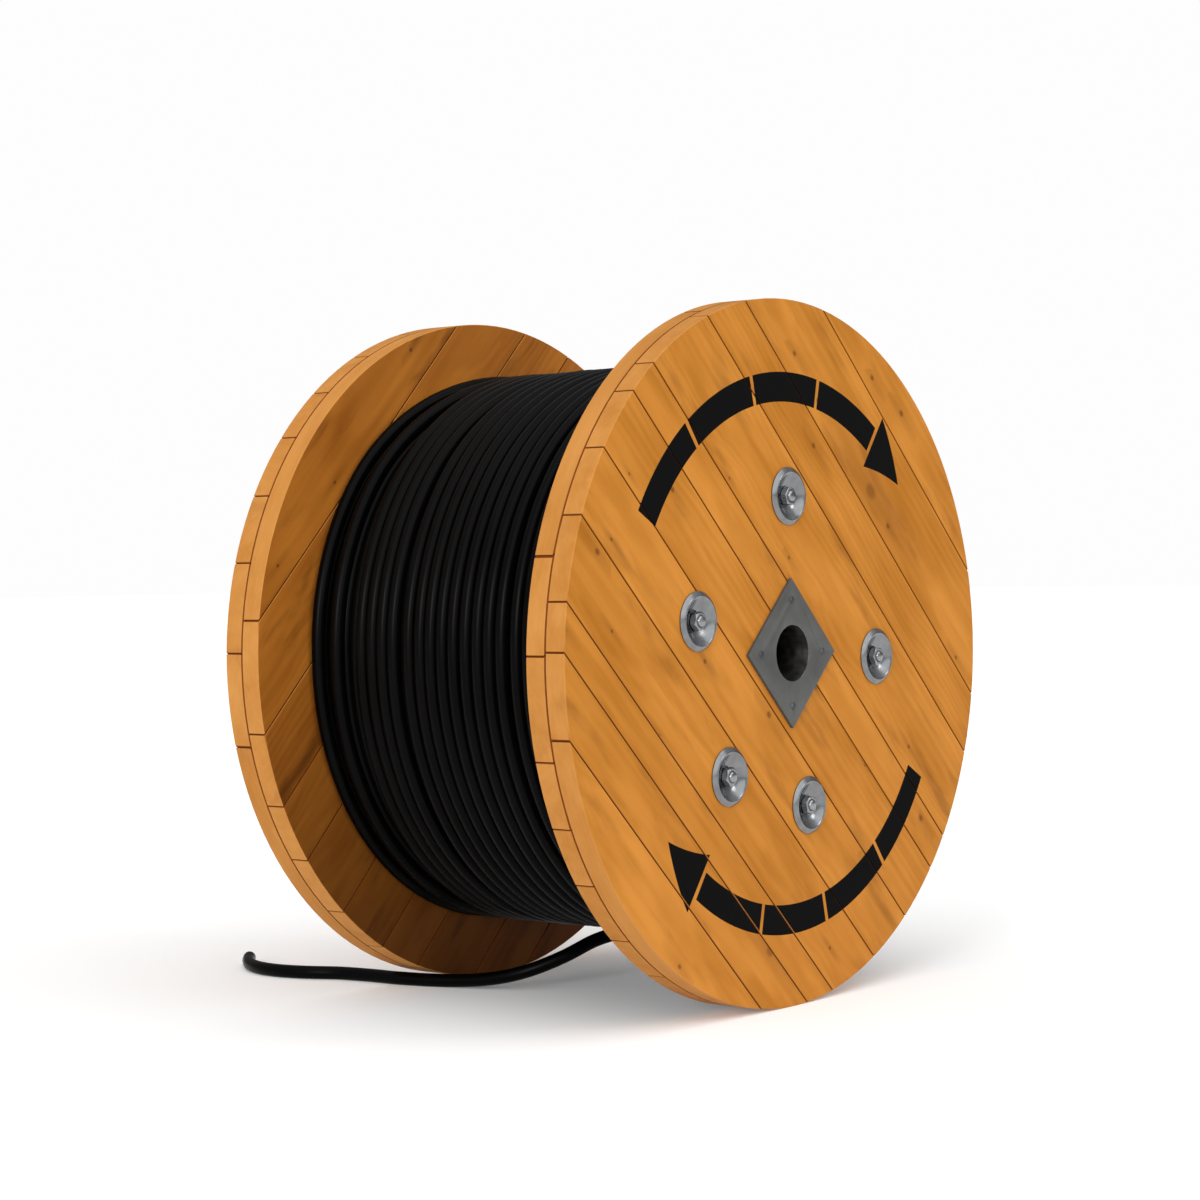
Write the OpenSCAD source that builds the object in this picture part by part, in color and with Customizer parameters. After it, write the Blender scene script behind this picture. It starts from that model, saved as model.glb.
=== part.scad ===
// Wooden cable drum: two nailed two-ply plank flanges, a stave barrel clamped by tie rods,
// steel spindle plates, a wound black cable and its loose tail on the floor.
// Millimetres. +X runs along the spindle axis, +Z is up, and the drum stands on its rims.

/* [Flanges] */
// Outside diameter of both flanges
flange_d = 1000; // [860:10:1200]
// Width over the two flanges' outer faces
drum_w = 620; // [500:10:760]
// Thickness of one ply of planks
ply_t = 32; // [26:1:38]
// Gap between neighbouring planks
plank_gap = 1.5; // [0.5:0.5:3]
// Slope of the outer planks, down towards +Y
plank_a = 44; // [30:1:60]

/* [Barrel] */
// Outside diameter of the stave barrel
barrel_d = 520; // [500:10:620]
// Thickness of one stave
stave_t = 22; // [18:1:26]
// Number of staves round the barrel
stave_n = 24; // [18:1:30]

/* [Spindle plates] */
// Diameter of the spindle bore
bore_d = 80; // [60:2:96]
// Side of the square steel plate
plate_side = 150; // [140:5:200]
// Thickness of the steel plate
plate_t = 5; // [4:0.5:8]
// Wall of the bush welded into the plate
bush_t = 4; // [3:0.5:6]

/* [Tie rods] */
// Diameter of the tie rods
rod_d = 16; // [12:1:20]
// Outside diameter of the dished washers
washer_d = 82; // [76:1:96]
// Thickness of the washers' sheet
washer_t = 3; // [2:0.5:4]

/* [Cable] */
// Outside diameter of the wound cable
winding_d = 816; // [720:4:840]
// Diameter of the cable
cable_d = 20; // [16:1:24]

/* [Hidden] */
$fn = 96;

flange_r = flange_d / 2;
inner_w = drum_w - 4 * ply_t;
flange_w = 2 * ply_t;
over = 1;

// joints of each ply as parts of the flange radius, across its planks
near_outer_joints = [-0.82, -0.67, -0.568, -0.364, -0.172, 0.025, 0.142, 0.412, 0.572, 0.838];
near_inner_joints = [-0.8, -0.61, -0.428, -0.23, -0.04, 0.176, 0.35, 0.52, 0.734, 0.884];
far_inner_joints = [-0.79, -0.614, -0.388, -0.23, -0.03, 0.186, 0.364, 0.558, 0.792];
far_outer_joints = [-0.85, -0.68, -0.47, -0.28, -0.08, 0.11, 0.31, 0.5, 0.7, 0.87];

// tie rods stand just inside the barrel, unevenly spaced round it
rod_angles = [90, 167, 228, 281, 357];
rod_circle_r = barrel_d / 2 - stave_t - rod_d;
rod_hole_d = rod_d + 2;
rod_proud = 9;
rod_chamfer = 1.5;

// dished washer: rim on the wood, ridge above it, centre pulled into a recess
washer_r = washer_d / 2;
ridge_h = 6.5;
dish_depth = 4;
recess_r = 28;
recess_depth = dish_depth + washer_t;
nut_h = 10;
nut_across_corners = rod_d * 1.73;
thread_play = 0.2;

// plate nails on the plate's diagonals
nail_r = plate_side / 2;
nail_shank_d = 5;
nail_head_d = 11;
nail_head_h = 2;
nail_depth = 40;
bush_d = bore_d + 2 * bush_t;
bush_play = 1;

// cable: turns of the top layer and those of the layer below that show in its gaps,
// as parts of the room that a turn's centre has between the flanges
top_turns = [-0.492, -0.413, -0.307, -0.264, -0.223, -0.18, -0.117, -0.072, -0.03, 0.015,
    0.059, 0.106, 0.152, 0.196, 0.242, 0.298, 0.342, 0.387, 0.431, 0.476];
low_turns = [-0.453, -0.36, -0.149, 0.27, 0.496];
layer_rise = 0.8;
core_rise = 0.35;
top_turn_r = winding_d / 2 - cable_d / 2;
low_turn_r = top_turn_r - layer_rise * cable_d;
core_r = low_turn_r + core_rise * cable_d;
wound_play = 0.2;
turn_room = inner_w - cable_d - 2 * wound_play;
turn_sides = 12;

// tail: it lies under the winding at [along the axis, degrees past the lowest line], then runs
// by a route of [along the axis, across it, height as a part of the drop to the floor]
tail_sides = 12;
lie_places = [[8, 22], [8, 16], [7, 10], [2, 5]];
lie_play = 0.5;
lie_r = winding_d / 2 + cable_d / 2 + lie_play;
drop = flange_r - lie_r - cable_d / 2;
tail_route = [[-10, 0, 0.97], [-25, -36, 0.85], [-46, -72, 0.6],
    [-77, -102, 0.36], [-112, -122, 0.19], [-152, -134, 0.08], [-195, -144, 0.02],
    [-243, -158, 0], [-295, -170, 0], [-350, -174, 0], [-405, -184, 0], [-452, -206, 0],
    [-497, -218, 0], [-542, -216, 0], [-583, -199, 0], [-618, -171, 0], [-645, -143, 0]];
steps_per_leg = 3;

// ---------- placing ----------

// local X becomes +Y, local Y becomes +Z, local Z becomes +X, at the drum's centre
module on_axis() {
    translate([0, 0, flange_r]) rotate([90, 0, 90]) children();
}

module at_rods() {
    for (a = rod_angles)
        rotate([0, 0, a]) translate([rod_circle_r, 0, 0]) children();
}

// ---------- flanges ----------

module ply_disc(floor_w) {
    difference() {
        translate([0, 0, floor_w]) cylinder(r = flange_r, h = ply_t);
        translate([0, 0, floor_w - over])
            cylinder(d = bush_d + bush_play, h = ply_t + 2 * over);
        at_rods() translate([0, 0, floor_w - over]) cylinder(d = rod_hole_d, h = ply_t + 2 * over);
        for (side = [0, 1])
            mirror([0, 0, side]) at_nails() translate([0, 0, drum_w / 2 - nail_depth])
                cylinder(d = nail_shank_d + thread_play, h = nail_depth + over);
    }
}

// one ply cut into planks; slope is the direction the planks run in
module ply(joints, slope, floor_w) {
    difference() {
        ply_disc(floor_w);
        rotate([0, 0, slope])
            for (j = joints)
                translate([-flange_r - over, j * flange_r - plank_gap / 2, floor_w - over])
                    cube([flange_d + 2 * over, plank_gap, ply_t + 2 * over]);
    }
}

module recesses(floor_w) {
    at_rods() translate([0, 0, floor_w]) cylinder(r = recess_r, h = recess_depth + over);
}

module outer_planks_near() {
    color("#c98a45") on_axis() difference() {
        ply(near_outer_joints, -plank_a, inner_w / 2 + ply_t);
        recesses(drum_w / 2 - recess_depth);
    }
}

module inner_planks_near() {
    color("#b9793a") on_axis() ply(near_inner_joints, 90 - plank_a, inner_w / 2);
}

module inner_planks_far() {
    color("#b9793a") on_axis() ply(far_inner_joints, 90 - plank_a, -inner_w / 2 - ply_t);
}

module outer_planks_far() {
    color("#c98a45") on_axis() difference() {
        ply(far_outer_joints, -plank_a, -drum_w / 2);
        recesses(-drum_w / 2 - over);
    }
}

// ---------- barrel ----------

module barrel_staves() {
    color("#c59a62") on_axis() difference() {
        translate([0, 0, -inner_w / 2]) cylinder(d = barrel_d, h = inner_w);
        translate([0, 0, -inner_w / 2 - over])
            cylinder(r = barrel_d / 2 - stave_t, h = inner_w + 2 * over);
        for (i = [0 : stave_n - 1])
            rotate([0, 0, (i + 0.5) * 360 / stave_n])
                translate([0, -plank_gap / 2, -inner_w / 2 - over])
                    cube([barrel_d, plank_gap, inner_w + 2 * over]);
    }
}

// ---------- steel ----------

// plate with its welded bush, on the outer face of the near flange
module spindle_plate() {
    difference() {
        union() {
            translate([0, 0, drum_w / 2])
                rotate([0, 0, 45])
                    translate([-plate_side / 2, -plate_side / 2, 0])
                        cube([plate_side, plate_side, plate_t]);
            translate([0, 0, inner_w / 2]) cylinder(d = bush_d, h = flange_w + plate_t / 2);
        }
        translate([0, 0, inner_w / 2 - over])
            cylinder(d = bore_d, h = flange_w + plate_t + 2 * over);
        at_nails() translate([0, 0, drum_w / 2 - over])
            cylinder(d = nail_shank_d + thread_play, h = plate_t + 2 * over);
    }
}

module at_nails() {
    for (a = [0 : 90 : 270])
        rotate([0, 0, a]) translate([nail_r, 0, 0]) children();
}

module plate_nail() {
    translate([0, 0, drum_w / 2 - nail_depth])
        cylinder(d = nail_shank_d, h = nail_depth + plate_t);
    translate([0, 0, drum_w / 2 + plate_t])
        cylinder(d1 = nail_head_d, d2 = nail_head_d * 0.6, h = nail_head_h);
}

module dished_washer() {
    rotate_extrude()
        polygon([
            [rod_hole_d / 2, -dish_depth], [rod_d * 0.85, -dish_depth],
            [washer_r * 0.8, ridge_h - 0.6], [washer_r * 0.84, ridge_h],
            [washer_r * 0.88, ridge_h - 0.6], [washer_r, washer_t * 0.8], [washer_r, 0],
            [washer_r - washer_t, 0], [washer_r * 0.86, ridge_h - washer_t - 0.4],
            [washer_r * 0.8, ridge_h - washer_t - 0.4],
            [rod_d * 0.8, -recess_depth], [rod_hole_d / 2, -recess_depth]
        ]);
}

module rod_nut() {
    difference() {
        cylinder(d = nut_across_corners, h = nut_h, $fn = 6);
        translate([0, 0, -over]) cylinder(d = rod_d + thread_play, h = nut_h + 2 * over);
    }
}

module tie_rod() {
    half = drum_w / 2 + rod_proud;
    translate([0, 0, -half + rod_chamfer])
        cylinder(d = rod_d, h = 2 * (half - rod_chamfer));
    for (side = [0, 1])
        mirror([0, 0, side]) translate([0, 0, half - rod_chamfer])
            cylinder(d1 = rod_d, d2 = rod_d - 2 * rod_chamfer, h = rod_chamfer);
}

module spindle_plate_near() {
    color("#5f6265") on_axis() spindle_plate();
}

module spindle_plate_far() {
    color("#5f6265") on_axis() mirror([0, 0, 1]) spindle_plate();
}

module plate_nails_near() {
    color("#6d7073") on_axis() at_nails() plate_nail();
}

module plate_nails_far() {
    color("#6d7073") on_axis() mirror([0, 0, 1]) at_nails() plate_nail();
}

module tie_rods() {
    color("#8a8d90") on_axis() at_rods() tie_rod();
}

module dished_washers_near() {
    color("#8f9295") on_axis() at_rods() translate([0, 0, drum_w / 2]) dished_washer();
}

module dished_washers_far() {
    color("#8f9295") on_axis() at_rods()
        mirror([0, 0, 1]) translate([0, 0, drum_w / 2]) dished_washer();
}

module tie_rod_nuts_near() {
    color("#9a9da0") on_axis() at_rods()
        translate([0, 0, drum_w / 2 - dish_depth]) rod_nut();
}

module tie_rod_nuts_far() {
    color("#9a9da0") on_axis() at_rods()
        mirror([0, 0, 1]) translate([0, 0, drum_w / 2 - dish_depth]) rod_nut();
}

// ---------- cable ----------

// all layers wound on the barrel, as one turned body with its bore
module cable_winding() {
    color("#1c1c1e") on_axis() rotate_extrude() union() {
        translate([barrel_d / 2 + wound_play, -inner_w / 2 + wound_play])
            square([core_r - barrel_d / 2 - wound_play, inner_w - 2 * wound_play]);
        for (t = top_turns)
            translate([top_turn_r, t * turn_room]) circle(d = cable_d, $fn = turn_sides);
        for (t = low_turns)
            translate([low_turn_r, t * turn_room]) circle(d = cable_d, $fn = turn_sides);
    }
}

tail_points = concat(
    [for (p = lie_places) [p[0], lie_r * sin(p[1]), flange_r - lie_r * cos(p[1])]],
    [for (p = tail_route) [p[0], p[1], cable_d / 2 + p[2] * drop]]);

// smooth line through the tail's points
function spline(a, b, c, d, t) = 0.5 * (2 * b + (c - a) * t
    + (2 * a - 5 * b + 4 * c - d) * t * t + (3 * b - a - 3 * c + d) * t * t * t);
last_point = len(tail_points) - 1;
function leg_point(i, t) = spline(tail_points[max(i - 1, 0)], tail_points[i],
    tail_points[i + 1], tail_points[min(i + 2, last_point)], t);
tail_line = [for (i = [0 : last_point - 1]) for (k = [0 : steps_per_leg - 1])
    leg_point(i, k / steps_per_leg), tail_points[last_point]];

function unit(v) = v / norm(v);
last_ring = len(tail_line) - 1;
function heading(i) = unit(tail_line[min(i + 1, last_ring)] - tail_line[max(i - 1, 0)]);
function side_of(i) = unit(cross(heading(i), [0, 0, 1]));
function top_of(i) = cross(side_of(i), heading(i));
function tail_ring(i) = [for (k = [0 : tail_sides - 1]) let (a = 360 * k / tail_sides)
    tail_line[i] + cable_d / 2 * (cos(a) * side_of(i) + sin(a) * top_of(i))];

module cable_tail() {
    rings = [for (i = [0 : last_ring]) each tail_ring(i)];
    walls = [for (i = [0 : last_ring - 1]) for (k = [0 : tail_sides - 1])
        let (n = (k + 1) % tail_sides, a = i * tail_sides, b = a + tail_sides)
        each [[a + k, a + n, b + n], [a + k, b + n, b + k]]];
    start = [for (k = [tail_sides - 1 : -1 : 0]) k];
    end = [for (k = [0 : tail_sides - 1]) last_ring * tail_sides + k];
    color("#1c1c1e") polyhedron(points = rings, faces = concat([start], walls, [end]));
}

// ---------- parts ----------

outer_planks_near();
inner_planks_near();
inner_planks_far();
outer_planks_far();
barrel_staves();
spindle_plate_near();
spindle_plate_far();
plate_nails_near();
plate_nails_far();
tie_rods();
dished_washers_near();
dished_washers_far();
tie_rod_nuts_near();
tie_rod_nuts_far();
cable_winding();
cable_tail();
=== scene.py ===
# A wooden cable drum as it stands in a yard: planed softwood flanges of two crossed plies,
# zinc-plated dished washers on five tie rods, painted spindle plates, and a black power cable
# wound on the barrel with its loose end on the floor. Metres; +X along the spindle, +Z up.
import math
import random

import bmesh
import bpy
from mathutils import Matrix, Vector


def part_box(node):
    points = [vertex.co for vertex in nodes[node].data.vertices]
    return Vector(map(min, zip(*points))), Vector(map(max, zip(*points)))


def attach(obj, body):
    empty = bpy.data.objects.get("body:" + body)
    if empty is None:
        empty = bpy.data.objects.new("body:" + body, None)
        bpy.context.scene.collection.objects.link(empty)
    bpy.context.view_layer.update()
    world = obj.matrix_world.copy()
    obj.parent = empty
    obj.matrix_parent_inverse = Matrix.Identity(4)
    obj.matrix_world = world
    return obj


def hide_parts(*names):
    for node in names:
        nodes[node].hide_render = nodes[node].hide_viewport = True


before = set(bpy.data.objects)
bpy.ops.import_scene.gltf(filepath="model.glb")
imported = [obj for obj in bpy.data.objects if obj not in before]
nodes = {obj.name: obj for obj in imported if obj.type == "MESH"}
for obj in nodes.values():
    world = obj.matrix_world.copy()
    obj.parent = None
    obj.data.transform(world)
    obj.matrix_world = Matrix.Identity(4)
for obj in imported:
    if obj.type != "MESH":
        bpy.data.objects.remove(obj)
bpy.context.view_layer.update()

MM = 0.001

# ---------- driving sizes ----------

FLANGE_R = (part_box("outer_planks_near")[1].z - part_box("outer_planks_near")[0].z) / 2
DRUM_HALF_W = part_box("outer_planks_near")[1].x
INNER_HALF_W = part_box("inner_planks_near")[0].x
WINDING_R = (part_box("cable_winding")[1].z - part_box("cable_winding")[0].z) / 2
BARREL_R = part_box("barrel_staves")[1].y
CABLE_D = 20 * MM
CABLE_R = CABLE_D / 2
AXIS_Z = FLANGE_R
OUTER_SLOPE = math.radians(-44)
INNER_SLOPE = math.radians(46)


# ---------- camera ----------

CAMERA_PLACE = Vector((2.488, -3.132, 0.622))
CAMERA_AZIMUTH = math.radians(38.83)
CAMERA_DIP = math.radians(0.655)
CAMERA_ROLL = math.radians(-0.74)
CAMERA_LENS = 80.8


def make_camera():
    """A long lens near the floor, looking at the near flange from its left."""
    forward = Vector((
        -math.sin(CAMERA_AZIMUTH) * math.cos(CAMERA_DIP),
        math.cos(CAMERA_AZIMUTH) * math.cos(CAMERA_DIP),
        -math.sin(CAMERA_DIP),
    ))
    right = forward.cross(Vector((0, 0, 1))).normalized()
    up = right.cross(forward)
    turn = Matrix((right, up, -forward)).transposed() @ Matrix.Rotation(CAMERA_ROLL, 3, "Z")
    data = bpy.data.cameras.new("camera")
    data.lens = CAMERA_LENS
    data.sensor_width = 36
    camera = bpy.data.objects.new("camera", data)
    camera.matrix_world = Matrix.Translation(CAMERA_PLACE) @ turn.to_4x4()
    bpy.context.scene.collection.objects.link(camera)
    bpy.context.scene.camera = camera


make_camera()


# ---------- small tools ----------

def linear(hex_colour):
    """An sRGB hex colour as linear red, green, blue and alpha."""
    channels = [int(hex_colour[i:i + 2], 16) / 255 for i in (1, 3, 5)]
    return tuple(c / 12.92 if c <= 0.04045 else ((c + 0.055) / 1.055) ** 2.4
                 for c in channels) + (1.0,)


def add(tree, kind, links=None, stops=None, **settings):
    """A node with its settings; links maps an input to a value or to another node's socket."""
    node = tree.nodes.new(kind)
    for name, value in settings.items():
        setattr(node, name, value)
    for name, value in (links or {}).items():
        if isinstance(value, bpy.types.NodeSocket):
            tree.links.new(value, node.inputs[name])
        else:
            node.inputs[name].default_value = value
    if stops:
        ramp = node.color_ramp
        while len(ramp.elements) < len(stops):
            ramp.elements.new(0.5)
        for element, (place, colour) in zip(ramp.elements, stops):
            element.position = place
            element.color = colour
    return node


def material(name):
    """An empty node material and its tree."""
    made = bpy.data.materials.new(name)
    made.use_nodes = True
    made.node_tree.nodes.clear()
    return made, made.node_tree


def finish_material(tree, shader_inputs):
    """Ends a material with one principled shader."""
    shader = add(tree, "ShaderNodeBsdfPrincipled", shader_inputs)
    add(tree, "ShaderNodeOutputMaterial", {"Surface": shader.outputs["BSDF"]})


def new_object(name, mesh, *materials):
    """A mesh as an object at the origin, with its materials."""
    made = bpy.data.objects.new(name, mesh)
    bpy.context.scene.collection.objects.link(made)
    for m in materials:
        mesh.materials.append(m)
    return made


def show(piece, node):
    """The piece stands for a CAD node, which is hidden, and hangs under the root body."""
    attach(piece, "root")
    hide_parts(node)


def on_drum(x, r, angle):
    """A point at that angle from +Y round the axis."""
    return Vector((x, r * math.cos(angle), AXIS_Z + r * math.sin(angle)))


def smooth(value):
    """An ease from 0 to 1, level at both ends."""
    value = min(max(value, 0.0), 1.0)
    return value * value * (3 - 2 * value)


# ---------- loose tail ----------

# where it lies under the winding, as [along the axis, degrees past the lowest line], then a
# route of [along the axis, across it, height as a part of the drop to the floor], in mm
TAIL_LIE_PLACES = [[8, 22], [8, 16], [7, 10], [2, 5]]
TAIL_LIE_GAP = 0.5 * MM
TAIL_ROUTE = [
    [-10, 0, 0.97], [-25, -36, 0.85], [-46, -72, 0.6], [-77, -102, 0.36],
    [-112, -122, 0.19], [-152, -134, 0.08], [-195, -144, 0.02], [-243, -158, 0],
    [-295, -170, 0], [-350, -174, 0], [-405, -184, 0], [-452, -206, 0], [-497, -218, 0],
    [-542, -216, 0], [-583, -199, 0], [-618, -171, 0], [-645, -143, 0],
]
TAIL_SIDES = 20
TAIL_STEPS = 6
TAIL_END_ROUND = 6 * MM
TAIL_END_RINGS = 5
TAIL_LIE_R = WINDING_R + CABLE_R + TAIL_LIE_GAP


def tail_points():
    """The lying places and the route as points in the drum's frame."""
    lying = [on_drum(x * MM, TAIL_LIE_R, math.radians(a - 90)) for x, a in TAIL_LIE_PLACES]
    drop = AXIS_Z - TAIL_LIE_R - CABLE_R
    return lying + [Vector((x * MM, y * MM, CABLE_R + h * drop)) for x, y, h in TAIL_ROUTE]


def smooth_line(points, steps):
    """A Catmull-Rom line through the points."""
    line = []
    last = len(points) - 1
    for i in range(last):
        a, b = points[max(i - 1, 0)], points[i]
        c, d = points[i + 1], points[min(i + 2, last)]
        for k in range(steps):
            t = k / steps
            line.append(0.5 * (2 * b + (c - a) * t + (2 * a - 5 * b + 4 * c - d) * t * t
                               + (3 * b - a - 3 * c + d) * t ** 3))
    return line + [points[-1]]


def tube(name, line, radii, sides):
    """A closed tube along a line, its rings turned as little as possible from one to the next."""
    shape = bmesh.new()
    rings = []
    side = None
    for i, point in enumerate(line):
        ahead = (line[min(i + 1, len(line) - 1)] - line[max(i - 1, 0)]).normalized()
        if side is None:
            side = ahead.cross(Vector((0, 0, 1))).normalized()
        side = (side - ahead * side.dot(ahead)).normalized()
        top = side.cross(ahead)
        rings.append([
            shape.verts.new(point + radii[i] * (math.cos(a) * side + math.sin(a) * top))
            for a in (2 * math.pi * k / sides for k in range(sides))
        ])
    for one, two in zip(rings, rings[1:]):
        for k in range(sides):
            n = (k + 1) % sides
            shape.faces.new((one[k], one[n], two[n], two[k]))
    shape.faces.new(rings[0][::-1])
    shape.faces.new(rings[-1])
    bmesh.ops.recalc_face_normals(shape, faces=shape.faces)
    for face in shape.faces:
        face.smooth = len(face.verts) == 4
    mesh = bpy.data.meshes.new(name)
    shape.to_mesh(mesh)
    shape.free()
    return mesh


def make_tail(jacket):
    """The loose end of the cable, rounded where it was cut."""
    path = smooth_line(tail_points(), TAIL_STEPS)
    end_heading = (path[-1] - path[-2]).normalized()
    body_end = path[-1] - end_heading * TAIL_END_ROUND
    line = path[:-1]
    if (path[-2] - path[-1]).length > TAIL_END_ROUND:
        line = line + [body_end]
    radii = [CABLE_R] * len(line)
    for k in range(1, TAIL_END_RINGS + 1):
        a = math.pi / 2 * k / TAIL_END_RINGS
        line.append(body_end + end_heading * TAIL_END_ROUND * math.sin(a))
        radii.append(CABLE_R - TAIL_END_ROUND * (1 - math.cos(a)))
    tail = new_object("cable_end", tube("cable_end", line, radii, TAIL_SIDES), jacket)
    show(tail, "cable_tail")
    tuple(path[0])
    [tuple(p) for p in path]


# ---------- cable on the barrel ----------

# places of the top layer's turns, as parts of the room that a turn's centre has between the
# flanges, and how many turns lie side by side in the layer below
TOP_TURNS = [
    -0.492, -0.413, -0.307, -0.264, -0.223, -0.18, -0.117, -0.072, -0.03, 0.015,
    0.059, 0.106, 0.152, 0.196, 0.242, 0.298, 0.342, 0.387, 0.431, 0.476,
]
LOW_TURN_COUNT = 23
LOW_TURN_SPREAD = 0.994
TURN_PLAY = 0.2 * MM
LAYER_RISE = 0.8 * CABLE_D
STEPS_PER_TURN = 120
TURN_SIDES = 12
WOBBLE_X = 0.8 * MM
WOBBLE_R = 0.5 * MM
LAST_WRAP_STEPS = 60
# turns step sideways over the top of the drum, so the layers stand highest there
CROSSING_MIDDLE = math.radians(108)
CROSSING_HALF = math.radians(34)
TOP_SWELL = 13 * MM
BOTTOM_SWELL = 4 * MM
SIDE_SINK = 4 * MM


def swell(angle):
    """How far the layers stand out from an even round at that angle."""
    height = math.sin(angle)
    return (TOP_SWELL * height if height > 0 else BOTTOM_SWELL * height * height) - SIDE_SINK


def wound_line(crests, radius, seed):
    """One layer, wound clockwise seen from the near side; each turn steps to the next place
    where it crosses over the top of the drum, and lifts a little as it does."""
    chance = random.Random(seed)
    waves = [(chance.uniform(0.7, 3.3), chance.uniform(0, 6.3)) for _ in range(4)]
    lifts = [chance.uniform(0.3, 2.2) * MM for _ in crests]
    line = []
    start = CROSSING_MIDDLE - CROSSING_HALF
    for i, crest in enumerate(crests):
        after = crests[min(i + 1, len(crests) - 1)]
        for k in range(STEPS_PER_TURN):
            turned = 2 * math.pi * k / STEPS_PER_TURN
            angle = start - turned
            into_crossing = (turned - (2 * math.pi - 2 * CROSSING_HALF)) / (2 * CROSSING_HALF)
            share = smooth(into_crossing)
            lift = lifts[i] * math.sin(math.pi * min(max(into_crossing, 0), 1))
            along = i + turned / (2 * math.pi)
            wave = sum(math.sin(2 * math.pi * along * f + p) for f, p in waves) / len(waves)
            x = crest + (after - crest) * share + WOBBLE_X * wave
            line.append(on_drum(x, radius + swell(angle) + lift + WOBBLE_R * wave, angle))
    return line


def last_wrap(x_from):
    """The outer end climbs onto the layer beside the near flange, crosses it behind the drum
    and comes to where the tail leaves."""
    line = []
    x_to = TAIL_LIE_PLACES[0][0] * MM
    start = CROSSING_MIDDLE - CROSSING_HALF
    end = math.radians(TAIL_LIE_PLACES[0][1] - 90)
    for k in range(LAST_WRAP_STEPS + 1):
        share = k / LAST_WRAP_STEPS
        angle = start + (end - start) * share
        rise = smooth(share / 0.2) * (CABLE_D + TAIL_LIE_GAP)
        x = x_from + (x_to - x_from) * smooth((share - 0.05) / 0.9)
        line.append(on_drum(x, WINDING_R - CABLE_R + swell(angle) * (1 - share) + rise, angle))
    return line


def cable_tree():
    """A round cable of one diameter along every curve it is given."""
    tree = bpy.data.node_groups.new("cable along a line", "GeometryNodeTree")
    face = tree.interface
    face.new_socket("Line", in_out="INPUT", socket_type="NodeSocketGeometry")
    face.new_socket("Cable radius", in_out="INPUT", socket_type="NodeSocketFloat")
    face.new_socket("Sides", in_out="INPUT", socket_type="NodeSocketInt")
    face.new_socket("Jacket", in_out="INPUT", socket_type="NodeSocketMaterial")
    face.new_socket("Cable", in_out="OUTPUT", socket_type="NodeSocketGeometry")
    given = add(tree, "NodeGroupInput")
    ring = add(tree, "GeometryNodeCurvePrimitiveCircle",
               {"Radius": given.outputs["Cable radius"], "Resolution": given.outputs["Sides"]})
    body = add(tree, "GeometryNodeCurveToMesh", {
        "Curve": given.outputs["Line"], "Profile Curve": ring.outputs["Curve"],
        "Fill Caps": True})
    soft = add(tree, "GeometryNodeSetShadeSmooth", {"Geometry": body.outputs["Mesh"]})
    real = add(tree, "GeometryNodeRealizeInstances", {"Geometry": soft.outputs["Geometry"]})
    painted = add(tree, "GeometryNodeSetMaterial", {
        "Geometry": real.outputs["Geometry"], "Material": given.outputs["Jacket"]})
    add(tree, "NodeGroupOutput", {"Cable": painted.outputs["Geometry"]})
    return tree


def set_inputs(modifier, values):
    """Sets a modifier's inputs by their sockets' identifiers."""
    for item in modifier.node_group.interface.items_tree:
        if item.item_type == "SOCKET" and item.in_out == "INPUT" and item.name in values:
            modifier[item.identifier] = values[item.name]


def plain_mesh(maker, name):
    """The evaluated result of an object's modifiers as a mesh; the maker is removed."""
    bpy.context.view_layer.update()
    seen = maker.evaluated_get(bpy.context.evaluated_depsgraph_get())
    mesh = bpy.data.meshes.new_from_object(seen)
    mesh.name = name
    bpy.data.objects.remove(maker)
    return mesh


def make_winding(jacket):
    """Two layers of turns, the last wrap to the tail, and a ring for the layers under them."""
    top_r = WINDING_R - CABLE_R
    low_r = top_r - LAYER_RISE
    room = 2 * INNER_HALF_W - CABLE_D - 2 * TURN_PLAY
    low_turns = [room * (i / (LOW_TURN_COUNT - 1) - 0.5) * LOW_TURN_SPREAD
                 for i in range(LOW_TURN_COUNT)]
    top = wound_line([t * room for t in TOP_TURNS], top_r, seed=4)
    top += last_wrap(top[-1].x)
    data = bpy.data.curves.new("winding_lines", "CURVE")
    data.dimensions = "3D"
    for line in (top, wound_line(low_turns, low_r, seed=9)):
        spline = data.splines.new("POLY")
        spline.points.add(len(line) - 1)
        for point, place in zip(spline.points, line):
            point.co = (*place, 1)
    maker = bpy.data.objects.new("winding_maker", data)
    bpy.context.scene.collection.objects.link(maker)
    modifier = maker.modifiers.new("cable", "NODES")
    modifier.node_group = cable_tree()
    set_inputs(modifier, {"Cable radius": CABLE_R, "Sides": TURN_SIDES, "Jacket": jacket})
    mesh = plain_mesh(maker, "cable_on_barrel")
    shape = bmesh.new()
    shape.from_mesh(mesh)
    add_ring(shape, low_r - SIDE_SINK, BARREL_R, INNER_HALF_W - 1 * MM)
    bmesh.ops.recalc_face_normals(shape, faces=shape.faces)
    shape.to_mesh(mesh)
    shape.free()
    winding = new_object("cable_on_barrel", mesh)
    show(winding, "cable_winding")


def add_ring(shape, outer_r, inner_r, half_w, count=96):
    """The layers under the two that show, as one ring of square section."""
    corners = [(outer_r, -half_w), (outer_r, half_w), (inner_r, half_w), (inner_r, -half_w)]
    rings = [[shape.verts.new(on_drum(x, r, 2 * math.pi * i / count)) for r, x in corners]
             for i in range(count)]
    for i in range(count):
        one, two = rings[i], rings[(i + 1) % count]
        for k in range(4):
            n = (k + 1) % 4
            shape.faces.new((one[k], one[n], two[n], two[k]))


# ---------- wood ----------

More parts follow.
